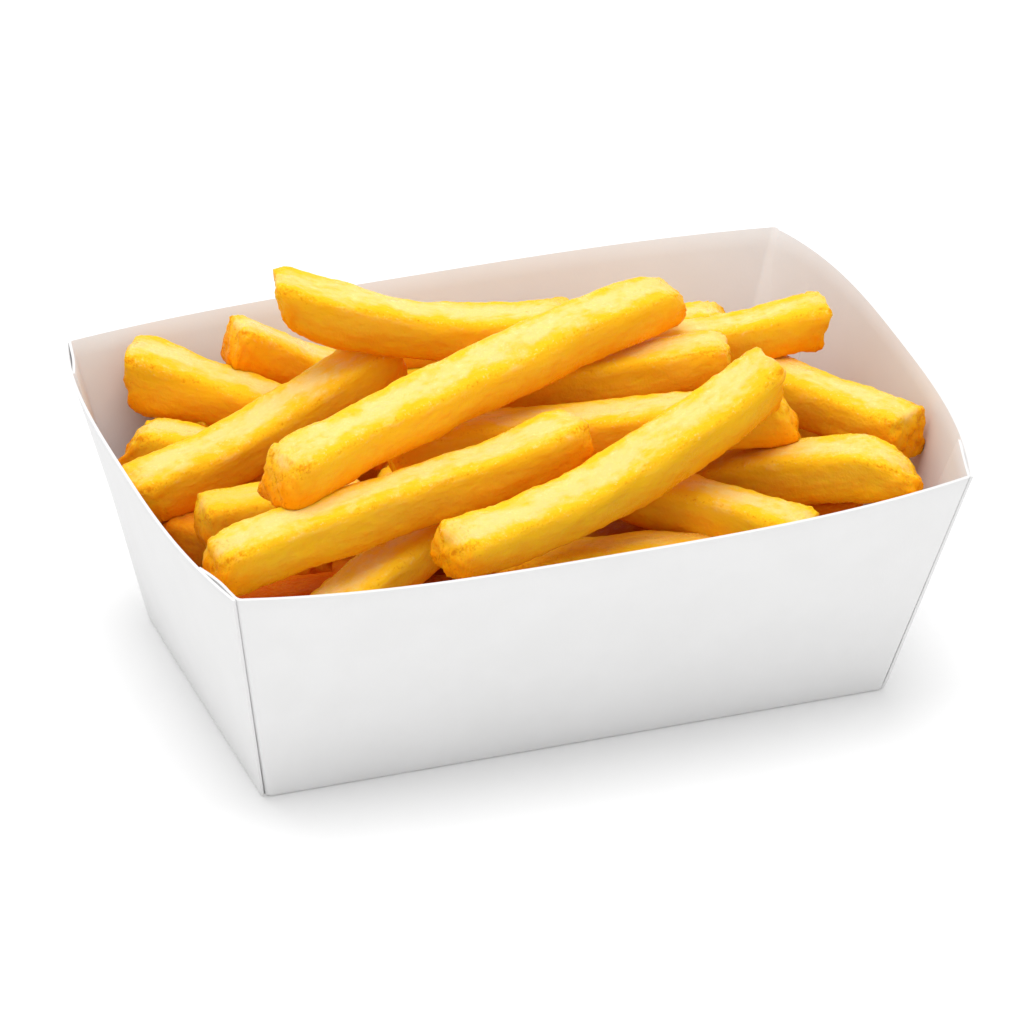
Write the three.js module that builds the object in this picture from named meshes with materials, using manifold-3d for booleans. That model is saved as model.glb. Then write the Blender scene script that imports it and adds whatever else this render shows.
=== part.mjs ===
// French fries in a folded paperboard carton.
//
// Millimetres, +Z up. The origin is the middle of the carton's underside. +X runs along the
// carton, and -Y is the long wall that the longest fries lean towards.
//
// The carton is one blank of board: a base, two long walls, two end walls, and a tab at each end
// of the long walls that folds round the corner and is glued inside the end wall. The food is one
// heap: fries fused to a core that fills the lower part of the carton.

import * as THREE from 'three';
import { mergeVertices } from 'three/addons/utils/BufferGeometryUtils.js';
import Module from 'manifold-3d';

const wasm = await Module();
wasm.setup();

// ---------------------------------------------------------------- the carton's driving sizes

const board = 0.6;            // thickness of the board
const baseLength = 137;       // the base, fold to fold
const baseWidth = 79;
const mouthLength = 160;      // the open top, corner to corner
const mouthWidth = 117;
const wallHeight = 59;
const endBulge = 6;           // how far the middle of each wall's top edge bows outwards
const sideBulge = 5.7;
const endCrown = 1.3;         // an end wall's top edge is higher in the middle,
const sideCrown = -0.9;       // and a long wall's a little lower
const tabLength = 15;         // the glued tabs inside the end walls
const foldRadius = 0.5;       // the long walls' rounded fold at each corner
const seam = 0.3;             // the open line beside that fold

// ---------------------------------------------------------------- the fries' driving sizes

const clearance = 0.3;        // between the heap and the board
const coreTop = 27;           // the solid part of the heap
const rowHeight = 30.5;       // the middle of the fries laid straight on the core
const rowPitch = 12.5;        // from one of them to the next across the carton
const rowReach = 34;          // from the middle of the carton to the middle of each
const edgeRounding = 0.84;    // a fry's four long edges are drawn in to this share
const tipRounding = 0.8;      // and the rim of its ends to this share
const unevenness = 0.07;      // how much a fry's thickness wanders along its length
const cutReach = 13;          // how far along a fry an oblique end is felt
const curlShare = 0.32;       // and the share of its length that a curled end takes

// The fries that can be told apart, from the top of the heap down. `from` and `to` are the
// middles of the two ends, `side` is the thickness, `turn` the roll about its length in degrees,
// `sag` how far the middle is above (+) or below (-) a straight line, and `taper` the share
// by which it is thinner at `to`. `cutFrom` and `cutTo` say how obliquely an end was cut: at 0.5
// its upper half lies 0.5 mm further along the fry for each millimetre of height. `hookFrom` and
// `hookTo` say how far an end has curled up (+) or down (-).
const fries = [
  // on top, in full view
  {
    from: [-61.5, -30.5, 69], to: [39.2, 11, 74], side: 12.4, turn: 8, taper: 0.16, sag: 1.6,
    cutFrom: 0.2, cutTo: -0.35, hookTo: -1,
  },
  {
    from: [-33, -54.5, 59.5], to: [48, -23, 70.5], side: 11, turn: 12, taper: -0.08, sag: -5.2,
    cutFrom: 0.3,
  },
  { from: [-42.5, 28, 78], to: [14, 11.5, 69.5], side: 11.3, sag: -3.6, cutFrom: -0.35, hookFrom: 0.6 },
  { from: [-78, -39.5, 58.5], to: [6.5, -23.5, 63.5], side: 11.2, sag: -1.5, cutFrom: 0.4 },
  // the next ones down, on the left
  { from: [-79, 12, 45.5], to: [-18, 27, 62], side: 11.8, turn: 5, sag: -2.5, cutFrom: -0.2 },
  { from: [-67, 52, 53], to: [-21, 19.5, 43], side: 13.2, taper: 0.34, cutFrom: -0.3 },
  { from: [-47, 46.5, 59], to: [-9, 46, 37], side: 11, cutFrom: -0.25 },
  { from: [-72, 37.5, 44], to: [-41.5, 16, 42.5], side: 10.5, cutFrom: 0.5 },
  // and on the right
  { from: [-7, 8, 61.5], to: [47, -0.5, 63], side: 11.3, sag: -1.5 },
  { from: [-29, -5, 57], to: [53.5, -20, 58.5], side: 11.4, cutTo: -0.5 },
  { from: [25, 12, 58.5], to: [71.5, 9, 63], side: 10.6, cutTo: 0.3 },
  { from: [24, 39.5, 51.5], to: [61.5, 35, 49.5], side: 10, cutTo: -0.8 },
  { from: [48, 26.5, 50.5], to: [77.5, -28, 53], side: 11.4 },
  {
    from: [34.5, -13, 40.5], to: [73.5, -42, 54], side: 10.6, taper: -0.1, sag: 1.6, cutTo: -0.4,
    hookTo: -5,
  },
  { from: [12.5, -11.5, 46.5], to: [47, -50, 45.5], side: 11 },
  // seen in part, between the others
  { from: [-15.5, -36.5, 40.5], to: [34.5, -40.5, 37.5], side: 10.5, sag: 2 },
  { from: [-60, -45.5, 40.5], to: [-24, -23, 47], side: 11 },
  { from: [-72, -28, 39], to: [-41, -28, 36], side: 10.5 },
  { from: [-70, -5, 47], to: [-36, -4, 46], side: 10.5 },
  { from: [-72, 11, 37], to: [-48, -18, 37], side: 9.5 },
  { from: [-60, 28, 34], to: [-22, 27, 37], side: 10 },
  { from: [40, -22, 36], to: [66, -31, 40], side: 10 },
  // along the back and in the middle of the heap
  { from: [-58, 42, 41], to: [-4, 46, 43], side: 10.5 },
  { from: [14, 47, 43], to: [64, 38, 38], side: 10.5 },
  { from: [-14, 31, 41], to: [42, 22, 42], side: 11 },
  { from: [-12, 47, 49], to: [30, 48, 49], side: 10.5 },
  { from: [40, 0, 42], to: [70, 14, 41], side: 11 },
  { from: [-26, 6, 39], to: [16, 5, 53], side: 10.5 },
  { from: [-38, -14, 40], to: [9, -21, 54.5], side: 10.5 },
  { from: [-38, -36, 33], to: [-8, -27, 31], side: 10.5 },
];

// ---------------------------------------------------------------- helpers

// The same run of numbers from 0 to 1 every time, for what is uneven in the food.
function makeRandom(seed) {
  let state = seed;
  return () => {
    state = (state * 16807) % 2147483647;
    return state / 2147483647;
  };
}

// A closed geometry with every shared corner joined and no triangle folded to nothing.
function closed(geometry) {
  geometry.deleteAttribute('normal');
  geometry.deleteAttribute('uv');
  const joined = mergeVertices(geometry, 1e-4);
  const corners = joined.index.array;
  const kept = [];
  for (let i = 0; i < corners.length; i += 3) {
    const [a, b, c] = [corners[i], corners[i + 1], corners[i + 2]];
    if (a !== b && b !== c && c !== a) kept.push(a, b, c);
  }
  joined.setIndex(kept);
  return joined;
}

function toSolid(geometry) {
  const { index, attributes } = closed(geometry);
  return new wasm.Manifold(new wasm.Mesh({
    numProp: 3,
    vertProperties: new Float32Array(attributes.position.array),
    triVerts: new Uint32Array(index.array),
  }));
}

function toGeometry(solid) {
  const mesh = solid.getMesh();
  const geometry = new THREE.BufferGeometry();
  geometry.setAttribute('position', new THREE.BufferAttribute(mesh.vertProperties, 3));
  geometry.setIndex(new THREE.BufferAttribute(mesh.triVerts, 1));
  const faceted = geometry.toNonIndexed();
  faceted.computeVertexNormals();
  return faceted;
}

// ---------------------------------------------------------------- the carton's plan

const bulge = (t) => 1 - Math.abs(t) ** 3;
const halfLength = (v) => (baseLength + (mouthLength - baseLength) * v) / 2;
const halfWidth = (v) => (baseWidth + (mouthWidth - baseWidth) * v) / 2;

// A point of a long wall or an end wall, at the share t of the way from its middle to its corner
// and v of the way up, `inset` in from the outer face.
function longWall(t, v, inset, reach) {
  const y = halfWidth(v) + sideBulge * v * bulge(t) - inset;
  return [t * (halfLength(v) - reach), -y, v * (wallHeight + sideCrown * bulge(t) * v)];
}

function endWall(t, v, inset, reach) {
  const x = halfLength(v) + endBulge * v * bulge(t) - inset;
  return [x, -t * (halfWidth(v) - reach), v * (wallHeight + endCrown * bulge(t) * v)];
}

// The stations of a quarter of the way round, from the middle of a long wall to the middle of an
// end wall, first on the outer face and then on the inner one. With a gap, the inner ones keep
// that far off the board, and don't follow the step where a tab ends.
const longSteps = [0, 0.16, 0.32, 0.48, 0.64, 0.8, 0.92];
const endSteps = [0.6, 0.4, 0.2, 0];

function quarterOutside(v) {
  const x = halfLength(v);
  const y = halfWidth(v);
  const z = v * wallHeight;
  const tabEnd = 1 - tabLength / y;
  return [
    ...longSteps.map((t) => longWall(t, v, 0, board)),
    [x - board - foldRadius, -y, z],
    [x - board - foldRadius * 0.3, -y + foldRadius * 0.3, z],
    [x - board, -y + foldRadius + seam, z],
    [x - board + seam * 0.5, -y + seam * 0.5, z],
    [x, -y + seam * 0.5, z],
    endWall(0.9, v, 0, seam),
    endWall(tabEnd, v, 0, 0),
    endWall(tabEnd - 0.01, v, 0, 0),
    ...endSteps.map((t) => endWall(t, v, 0, 0)),
  ];
}

function quarterInside(v, gap = 0) {
  const x = halfLength(v);
  const y = halfWidth(v);
  const z = v * wallHeight;
  const one = board + gap;
  const two = one + board;
  const pastTab = gap ? two : one;
  const tabEnd = 1 - tabLength / y;
  return [
    ...longSteps.map((t) => longWall(t, v, one, two)),
    [x - two - 1.6, -y + one, z],
    [x - two - 0.8, -y + one + 0.06, z],
    [x - two - 0.24, -y + one + 0.24, z],
    [x - two - 0.06, -y + one + 0.8, z],
    [x - two, -y + one + 1.6, z],
    endWall(0.9, v, two, 0),
    endWall(tabEnd, v, two, 0),
    endWall(tabEnd - 0.01, v, pastTab, 0),
    ...endSteps.map((t) => endWall(t, v, pastTab, 0)),
  ];
}

// A whole turn from a quarter, by mirroring it end for end and side for side.
function wholeRing(quarter) {
  const far = quarter.slice(1, -1).reverse();
  const flip = (points, sx, sy) => points.map(([x, y, z]) => [x * sx, y * sy, z]);
  return [
    ...quarter,
    ...flip([...far, quarter[0]], 1, -1),
    ...flip(quarter.slice(1), -1, -1),
    ...flip(far, -1, 1),
  ];
}

// A closed body of rings, one above another, with its two ends gathered at points on the axis.
function ringSolid(start, rings, end) {
  const stations = rings[0].length;
  const profile = [
    new THREE.Vector2(0, 0),
    ...rings.map((ring, row) => new THREE.Vector2(1, row)),
    new THREE.Vector2(0, rings.length),
  ];
  const geometry = new THREE.LatheGeometry(profile, stations);
  const position = geometry.attributes.position;
  for (let station = 0; station <= stations; station++) {
    const around = station % stations;
    const column = [start, ...rings.map((ring) => ring[around]), end];
    column.forEach((point, row) => {
      position.setXYZ(station * profile.length + row, ...point);
    });
  }
  return geometry;
}

function makeCarton() {
  const floor = board / wallHeight;
  const levels = [0, 1 / 3, 2 / 3, 1];
  const outside = levels.map((v) => wholeRing(quarterOutside(v)));
  const inside = [...levels.slice(1).reverse(), floor].map((v) => wholeRing(quarterInside(v)));
  return ringSolid([0, 0, 0], [...outside, ...inside], [0, 0, board]);
}

// ---------------------------------------------------------------- the heap of fries

// The lower part of the heap: it follows the walls and rises a little in the middle.
function makeCore() {
  const gap = 2.5 * clearance;
  const foot = board + clearance;
  const rings = [foot, (foot + coreTop) / 2, coreTop].map((height) => {
    const ring = wholeRing(quarterInside(height / wallHeight, gap));
    return ring.map(([x, y]) => [x, y, height]);
  });
  return ringSolid([0, 0, foot], rings, [0, 0, coreTop + 2]);
}

// One fry: a long box with its edges and tips drawn in, laid from one end to the other.
const fryStations = [0, 0.035, 0.27, 0.5, 0.73, 0.965, 1];

function makeFry(fry, random) {
  const { from, to, side, turn = 0, sag = 0, taper = 0 } = fry;
  const { cutFrom = 0, cutTo = 0, hookFrom = 0, hookTo = 0 } = fry;
  const segments = fryStations.length - 1;
  const geometry = new THREE.BoxGeometry(1, 1, 1, segments, 2, 2);
  const start = new THREE.Vector3(...from);
  const along = new THREE.Vector3(...to).sub(start);
  const across = new THREE.Vector3(0, 0, 1).cross(along).normalize();
  const above = along.clone().cross(across).normalize();
  const roll = THREE.MathUtils.degToRad(turn);
  const first = across.clone().multiplyScalar(Math.cos(roll)).addScaledVector(above, Math.sin(roll));
  const second = above.clone().multiplyScalar(Math.cos(roll)).addScaledVector(across, -Math.sin(roll));
  const length = along.length();
  const felt = (distance) => Math.max(0, 1 - distance / cutReach) ** 1.5;
  const curl = (share) => Math.max(0, 1 - share / curlShare) ** 2;
  const cut = fryStations.map((u) => cutFrom * felt(u * length) + cutTo * felt((1 - u) * length));
  const rise = fryStations.map((u) => 4 * sag * u * (1 - u) + hookFrom * curl(u) + hookTo * curl(1 - u));
  const thickness = fryStations.map((u) => side * (1 - taper * u) * (1 + unevenness * (random() - 0.5)));
  const position = geometry.attributes.position;
  for (let i = 0; i < position.count; i++) {
    const station = Math.round((position.getX(i) + 0.5) * segments);
    const u = fryStations[station];
    const y = position.getY(i);
    const z = position.getZ(i);
    const onEdge = Math.abs(y) > 0.4 && Math.abs(z) > 0.4;
    const atTip = station === 0 || station === segments;
    const reach = thickness[station] * (onEdge ? edgeRounding : 1) * (atTip ? tipRounding : 1);
    const point = start.clone()
      .addScaledVector(along, u + cut[station] * z * reach / length)
      .addScaledVector(first, y * reach)
      .addScaledVector(second, z * reach);
    position.setXYZ(i, point.x, point.y, point.z + rise[station]);
  }
  return geometry;
}

// Fries side by side on the core, in two columns, each a little askew.
function bottomRows(random) {
  const rows = [];
  for (const middle of [-rowReach, rowReach]) {
    for (let row = -3; row <= 3; row++) {
      const length = (Math.abs(row) === 3 ? 58 : 62) + 4 * (random() - 0.5);
      const heading = THREE.MathUtils.degToRad(Math.abs(row) === 3 ? 0 : 14 * (random() - 0.5));
      const reach = [Math.cos(heading) * length / 2, Math.sin(heading) * length / 2];
      const y = row * rowPitch;
      rows.push({
        from: [middle - reach[0], y - reach[1], rowHeight + random()],
        to: [middle + reach[0], y + reach[1], rowHeight + random()],
        side: 10.5,
      });
    }
  }
  return rows;
}

// The heap is one body, so hollows that the fries close off inside it are filled.
function makeHeap() {
  const random = makeRandom(2024);
  let heap = toSolid(makeCore());
  for (const fry of [...fries, ...bottomRows(random)]) {
    heap = heap.add(toSolid(makeFry(fry, random)));
  }
  const bodies = heap.decompose();
  return bodies.reduce((largest, body) => (body.volume() > largest.volume() ? body : largest));
}

// ---------------------------------------------------------------- the object

const paperboard = new THREE.MeshStandardMaterial({ color: 0xf2f1ef, roughness: 0.75, metalness: 0 });
const friedPotato = new THREE.MeshStandardMaterial({ color: 0xf0b52e, roughness: 0.5, metalness: 0 });

const carton = new THREE.Mesh(toGeometry(toSolid(makeCarton())), paperboard);
carton.name = 'carton';

const heap = new THREE.Mesh(toGeometry(makeHeap()), friedPotato);
heap.name = 'fries';

const friesInCarton = new THREE.Group();
friesInCarton.add(carton, heap);

export default friesInCarton;
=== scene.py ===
# %% [markdown]
# # French fries in a carton
#
# A takeaway carton of white board, folded by hand from one blank, and a heap of thick-cut fries
# that stands a little above its rim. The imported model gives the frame: where the carton stands,
# how large it is and where the heap may reach. Everything below is built around it, with +X along
# the carton and +Z up. Sizes are written in millimetres, which MM turns into Blender's metres.

# %% Load the frame
import math

import bmesh
import bpy
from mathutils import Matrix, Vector


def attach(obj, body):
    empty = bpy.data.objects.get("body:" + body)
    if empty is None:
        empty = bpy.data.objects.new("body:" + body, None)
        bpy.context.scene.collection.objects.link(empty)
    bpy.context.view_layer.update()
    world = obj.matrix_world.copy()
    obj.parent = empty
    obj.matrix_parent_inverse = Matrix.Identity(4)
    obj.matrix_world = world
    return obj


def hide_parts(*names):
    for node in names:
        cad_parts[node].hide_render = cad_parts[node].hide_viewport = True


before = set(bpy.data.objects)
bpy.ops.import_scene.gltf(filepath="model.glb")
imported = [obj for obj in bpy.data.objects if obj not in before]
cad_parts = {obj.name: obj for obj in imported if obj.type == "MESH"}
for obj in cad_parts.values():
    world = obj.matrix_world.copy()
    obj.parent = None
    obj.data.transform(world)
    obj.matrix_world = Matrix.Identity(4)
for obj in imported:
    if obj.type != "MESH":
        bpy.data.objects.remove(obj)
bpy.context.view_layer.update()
MM = 0.001
print("frame loaded:", sorted(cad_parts))

# %% [markdown]
# ## The camera
#
# A long lens from far away keeps parallel edges almost parallel, which is how such a product is
# usually shown. The camera looks down on the carton from the left of straight ahead, so that the
# front wall, the left end and the inside of the other two walls all show. It is aimed at a point
# near the middle of the heap, and neither shifted nor tilted.

# %% Camera
LENS = 400
DISTANCE = 2.4
CAMERA_AZIMUTH = math.radians(-18.94)
CAMERA_ELEVATION = math.radians(29.39)
AIM = Vector((4.3, 14.0, 26.0)) * MM


def direction(azimuth, elevation):
    """The unit vector from the object towards a viewer or a light."""
    flat = math.cos(elevation)
    return Vector((math.sin(azimuth) * flat, -math.cos(azimuth) * flat, math.sin(elevation)))


camera = bpy.data.objects.new("camera", bpy.data.cameras.new("camera"))
camera.data.lens = LENS
camera.data.clip_end = 20
back = direction(CAMERA_AZIMUTH, CAMERA_ELEVATION)
camera.location = AIM + back * DISTANCE
camera.rotation_euler = (-back).to_track_quat("-Z", "Y").to_euler()
bpy.context.scene.collection.objects.link(camera)
bpy.context.scene.camera = camera
print("camera at", [round(c, 3) for c in camera.location], "m")

# %% [markdown]
# ## Nodes as arithmetic
#
# Both the finishes and the fries' own shape are sums of fields, and a sum reads better as a line
# of Python than as a row of nodes. One small class wraps a socket: `+`, `-`, `*`, `/` and `**` add
# the Math or Vector Math node that does it, also with a plain number on the left. Every other
# node comes from its `node` method, which takes the node's type, its settings and its sockets.

# %% The socket class
class Wire:
    """An output socket of a node tree that arithmetic can be written with."""

    def __init__(self, tree, socket):
        self.tree = tree
        self.socket = socket

    @staticmethod
    def node(tree, kind, settings=None, sockets=None, out=None):
        """Adds a node: first its settings, then the values or links of its sockets."""
        made = tree.nodes.new(kind)
        for name, value in (settings or {}).items():
            setattr(made, name, value)
        for name, value in (sockets or {}).items():
            socket = Wire.pick(made.inputs, name)
            if isinstance(value, Wire):
                tree.links.new(value.socket, socket)
            else:
                socket.default_value = value
        if not made.outputs:
            return made
        return Wire(tree, Wire.pick(made.outputs, out))

    @staticmethod
    def pick(sockets, name):
        """The socket in use that has this name or place, or the first in use."""
        used = [s for s in sockets if s.enabled]
        if name is None:
            return used[0]
        if isinstance(name, int):
            return used[name]
        return next(s for s in used if s.name == name)

    def combine(self, operation, first, second):
        """A Math node, or a Vector Math node where either side is a vector or colour."""
        sides = (first, second)
        vectors = [isinstance(s, Wire) and s.socket.type in ("VECTOR", "RGBA") for s in sides]
        triples = [isinstance(s, tuple) for s in sides]
        if not any(vectors):
            given = {place: side for place, side in enumerate(sides) if side is not None}
            return Wire.node(self.tree, "ShaderNodeMath", {"operation": operation}, given)
        if operation == "MULTIPLY" and not (all(vectors) or any(triples)):
            vector, number = sides if vectors[0] else sides[::-1]
            given = {0: vector, "Scale": number}
            return Wire.node(self.tree, "ShaderNodeVectorMath", {"operation": "SCALE"}, given)
        filled = [(s,) * 3 if isinstance(s, (int, float)) else s for s in sides]
        given = dict(enumerate(filled))
        return Wire.node(self.tree, "ShaderNodeVectorMath", {"operation": operation}, given)

    def __add__(self, other):
        return self.combine("ADD", self, other)

    def __radd__(self, other):
        return self.combine("ADD", other, self)

    def __sub__(self, other):
        return self.combine("SUBTRACT", self, other)

    def __rsub__(self, other):
        return self.combine("SUBTRACT", other, self)

    def __mul__(self, other):
        return self.combine("MULTIPLY", self, other)

    def __rmul__(self, other):
        return self.combine("MULTIPLY", other, self)

    def __truediv__(self, other):
        return self.combine("DIVIDE", self, other)

    def __rtruediv__(self, other):
        return self.combine("DIVIDE", other, self)

    def __pow__(self, other):
        return self.combine("POWER", self, other)

    def of(self, operation, other=None):
        """Any other Math operation, such as ABSOLUTE, MINIMUM or SINE."""
        return self.combine(operation, self, other)

    def parts(self):
        """The three numbers of a vector."""
        split = Wire.node(self.tree, "ShaderNodeSeparateXYZ", None, {0: self}).socket.node
        return [Wire(self.tree, socket) for socket in split.outputs]

    def between(self, low, high):
        """0 below low, 1 above high, and smooth in between."""
        settings = {"interpolation_type": "SMOOTHSTEP"}
        sockets = {"Value": self, "From Min": low, "From Max": high}
        return Wire.node(self.tree, "ShaderNodeMapRange", settings, sockets)


print("socket class ready")

# %% [markdown]
# ## The room
#
# The carton stands on a seamless white sheet under soft light. A pale sky gives the even part. One
# large soft box hangs almost straight above, a trace to the left. It makes the tops of the fries
# bright, leaves their sides in warmer shade, and keeps the shadow soft and close round the foot of
# the leaning walls. The Standard view shows colours without a film curve, so white board stays
# white.

# %% Floor and lights
bpy.context.scene.view_settings.view_transform = "Standard"
SKY = 0.82
BOX_POWER = 16
BOX_SIZE = 1.2
BOX_DISTANCE = 1.6
BOX_AZIMUTH = math.radians(-100)
BOX_ELEVATION = math.radians(87)
FLOOR_REACH = 6
FLOOR_WHITE = (0.98, 0.98, 0.98, 1)

world = bpy.data.worlds.new("pale_sky")
bpy.context.scene.world = world
world.use_nodes = True
world.node_tree.nodes["Background"].inputs["Color"].default_value = (1, 1, 1, 1)
world.node_tree.nodes["Background"].inputs["Strength"].default_value = SKY

soft_box = bpy.data.objects.new("soft_box", bpy.data.lights.new("soft_box", "AREA"))
soft_box.data.energy = BOX_POWER
soft_box.data.size = BOX_SIZE
towards = direction(BOX_AZIMUTH, BOX_ELEVATION)
soft_box.location = towards * BOX_DISTANCE
soft_box.rotation_euler = (-towards).to_track_quat("-Z", "Y").to_euler()
bpy.context.scene.collection.objects.link(soft_box)

floor_mesh = bpy.data.meshes.new("floor")
corners = [(x * FLOOR_REACH, y * FLOOR_REACH, 0) for x, y in ((-1, -1), (1, -1), (1, 1), (-1, 1))]
floor_mesh.from_pydata(corners, [], [(0, 1, 2, 3)])
floor = bpy.data.objects.new("floor", floor_mesh)
bpy.context.scene.collection.objects.link(floor)
paper = bpy.data.materials.new("white_sheet")
paper.use_nodes = True
sheet_shader = paper.node_tree.nodes["Principled BSDF"]
sheet_shader.inputs["Base Color"].default_value = FLOOR_WHITE
sheet_shader.inputs["Roughness"].default_value = 0.9
sheet_shader.inputs["Specular IOR Level"].default_value = 0.1
floor_mesh.materials.append(paper)
print("floor and lights ready")

# %% [markdown]
# ## The carton's walls
#
# The real carton is cut from one sheet of board. Its four walls lean outwards, and because board
# is stiff along a fold and springy between folds, each wall bows outwards at the top and is flat
# at the bottom and at its corners. So a wall is a formula of two shares: `t`, from the middle of
# the wall to its corner, and `v`, from the base to the rim. `inset` moves in through the board,
# and `reach` stops the wall that far short of its corner. Sizes are in millimetres.

# %% The walls as formulas
BOARD = 0.6
BASE_LENGTH, BASE_WIDTH = 137, 79
MOUTH_LENGTH, MOUTH_WIDTH = 160, 117
WALL_HEIGHT = 59
END_BULGE, SIDE_BULGE = 6, 5.7
END_CROWN, SIDE_CROWN = 1.3, -0.9


def bow(t):
    """The share of a wall's bow at t: springy board stays nearly flat close to its corners."""
    return 1 - abs(t) ** 3


def half_length(v):
    """From the middle to an end wall's straight corners, at a height."""
    return (BASE_LENGTH + (MOUTH_LENGTH - BASE_LENGTH) * v) / 2


def half_width(v):
    """From the middle to a long wall's straight corners, at a height."""
    return (BASE_WIDTH + (MOUTH_WIDTH - BASE_WIDTH) * v) / 2


def long_wall(t, v, inset=0, reach=0):
    """A point of the front wall; t is 1 at its right corner."""
    y = half_width(v) + SIDE_BULGE * v * bow(t) - inset
    return (t * (half_length(v) - reach), -y, v * (WALL_HEIGHT + SIDE_CROWN * bow(t) * v))


def end_wall(t, v, inset=0, reach=0):
    """A point of the right end wall; t is 1 at its front corner."""
    x = half_length(v) + END_BULGE * v * bow(t) - inset
    return (x, -t * (half_width(v) - reach), v * (WALL_HEIGHT + END_CROWN * bow(t) * v))


print("mouth over the bows:", 2 * end_wall(0, 1)[0], "x", -2 * long_wall(0, 1)[1], "mm")

# %% [markdown]
# ## The carton as one folded sheet
#
# A box of four slabs would look glued from tiles. The real thing is a sheet with rounded folds,
# cut edges and an overlap at each corner: the long walls carry tabs that turn the corner and are
# glued inside the end walls, so the end wall's cut edge shows at the corner with a fine dark line
# beside the rounded fold.
#
# No two corners of a carton folded by hand close alike. So each has its own numbers, in
# millimetres: how wide its fold is (`fold`), how far the tab slipped inwards before the glue held
# (`slip`), the open line beside the end wall's edge (`seam`), how far the tab springs off the wall
# between its fold and its glued end (`spring`), and how much lower its top edge is (`drop`). At
# the back right the fold was also drawn in halfway up (`pull`), and the end wall's edge is cut
# back at the rim (`open`).
#
# The sheet's outer face is made first, as grids that share their edges at the folds. Solidify
# then gives all of it the thickness of the board, inwards. A narrow Bevel takes the sharpness
# off the cut edges, as a cutting die does.

# %% The folded sheet's outer face
BASE_FOLD = 0.6
TAB_LENGTH = 15
TRIM_HEIGHT = 0.04
GLUE_LINE = 0.02
NEARBY = 6
MERGED = 0.01
FOLD_STEPS, WALL_STEPS, SPAN_STEPS, TAB_SPANS = 4, 14, 44, 8
LEVELS = [0.02, 0.05, 0.1] + [0.1 + 0.9 * i / WALL_STEPS for i in range(1, WALL_STEPS + 1)]
ACROSS = [-1 + 2 * i / SPAN_STEPS for i in range(SPAN_STEPS + 1)]
TAB_STEPS = [i / TAB_SPANS for i in range(TAB_SPANS + 1)]
CORNERS = {
    ("right", "front"): dict(fold=0.8, slip=0.06, seam=0.1, spring=0.25, drop=0.35),
    ("left", "front"): dict(fold=1.6, slip=0.3, seam=0.5, spring=0.9, drop=0.35),
    ("right", "back"): dict(
        fold=1.3, slip=0.15, seam=0.3, spring=0.0, drop=1.4, pull=4.3, open=2.2,
    ),
    ("left", "back"): dict(fold=1.2, slip=0.2, seam=0.3, spring=0.5, drop=0.35),
}
SIGN = {"right": 1, "left": -1, "front": 1, "back": -1}


def pull(corner, v):
    """How far a fold is drawn inwards; the rim and the base hold it."""
    return corner.get("pull", 0) * math.sin(math.pi * (1 - v))


def reach(corner, v):
    """How far short of the corner the flat of a long wall ends."""
    return BOARD + corner["slip"] + corner["fold"] + pull(corner, v)


def corner_of(end, side):
    """The corner where a positive end means right and a positive side means front."""
    return CORNERS["right" if end > 0 else "left", "front" if side > 0 else "back"]


def curve(a, b, c, share):
    """A point on the bend from a to c that heads for b."""
    rest = 1 - share
    weights = (rest * rest, 2 * rest * share, share * share)
    return tuple(sum(w * c for w, c in zip(weights, point)) for point in zip(a, b, c))


def folded_foot(column, inwards):
    """Adds the rounded fold between a wall's lowest point and the base, below a column."""
    corner = column(0)
    foot = (corner[0] + inwards[0], corner[1] + inwards[1], 0)
    start = column(LEVELS[0] / 2)
    return [curve(foot, corner, start, i / FOLD_STEPS) for i in range(FOLD_STEPS + 1)]


def end_face(corner, t, v, inset=0, reach=0):
    """The end wall as it stands: near a corner whose fold is drawn in, it follows the fold."""
    x, y, z = end_wall(t, v, inset, reach)
    return (x - pull(corner, v) * abs(t) ** NEARBY, y, z)


def corner_column(corner, v, share):
    """The fold round a corner, from the long wall to the tab, as if at the right front."""
    x = half_length(v) - BOARD - corner["slip"] - pull(corner, v)
    y = -half_width(v)
    z = v * WALL_HEIGHT
    start = (x - corner["fold"], y, z)
    return curve(start, (x, y, z), tab_point(corner, v, 0), share)


def tab_point(corner, v, share):
    """The tab's outer face: share runs from the fold to the free end, which is glued down."""
    t = 1 - (corner["fold"] + (TAB_LENGTH - corner["fold"]) * share) / half_width(v)
    stand_off = GLUE_LINE + (corner["slip"] - GLUE_LINE) * (1 - share)
    stand_off += corner["spring"] * math.sin(math.pi * share) * v ** 2
    x, y, z = end_face(corner, t, v, BOARD + stand_off)
    return (x, y, z - corner["drop"] * v * min(1, share * 4))


def end_column(end, t, v):
    """A point of the end wall, whose cut edges are trimmed close to the base, where folds meet."""
    corner = corner_of(end, t)
    trim = corner["seam"] + (BASE_FOLD - corner["seam"]) * max(0, 1 - v / TRIM_HEIGHT)
    return end_face(corner, t, v, 0, trim + corner.get("open", 0) * v ** NEARBY)


def long_column(side, t, v):
    """A point of the long wall, which ends where its corner's fold starts."""
    return long_wall(t, v, 0, reach(corner_of(t, side), v))


print("wall levels:", len(LEVELS), "stations across:", len(ACROSS))

# %% Join the grids into a sheet
def add_grid(mesh, rows, mirror=(1, 1)):
    """Joins rows of points, given in millimetres, with quads."""
    scale = (mirror[0] * MM, mirror[1] * MM, MM)
    made = []
    for row in rows:
        made.append([mesh.verts.new([c * s for c, s in zip(point, scale)]) for point in row])
    for low, high in zip(made, made[1:]):
        for a, b, c, d in zip(low, low[1:], high[1:], high):
            mesh.faces.new((a, b, c, d))


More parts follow.
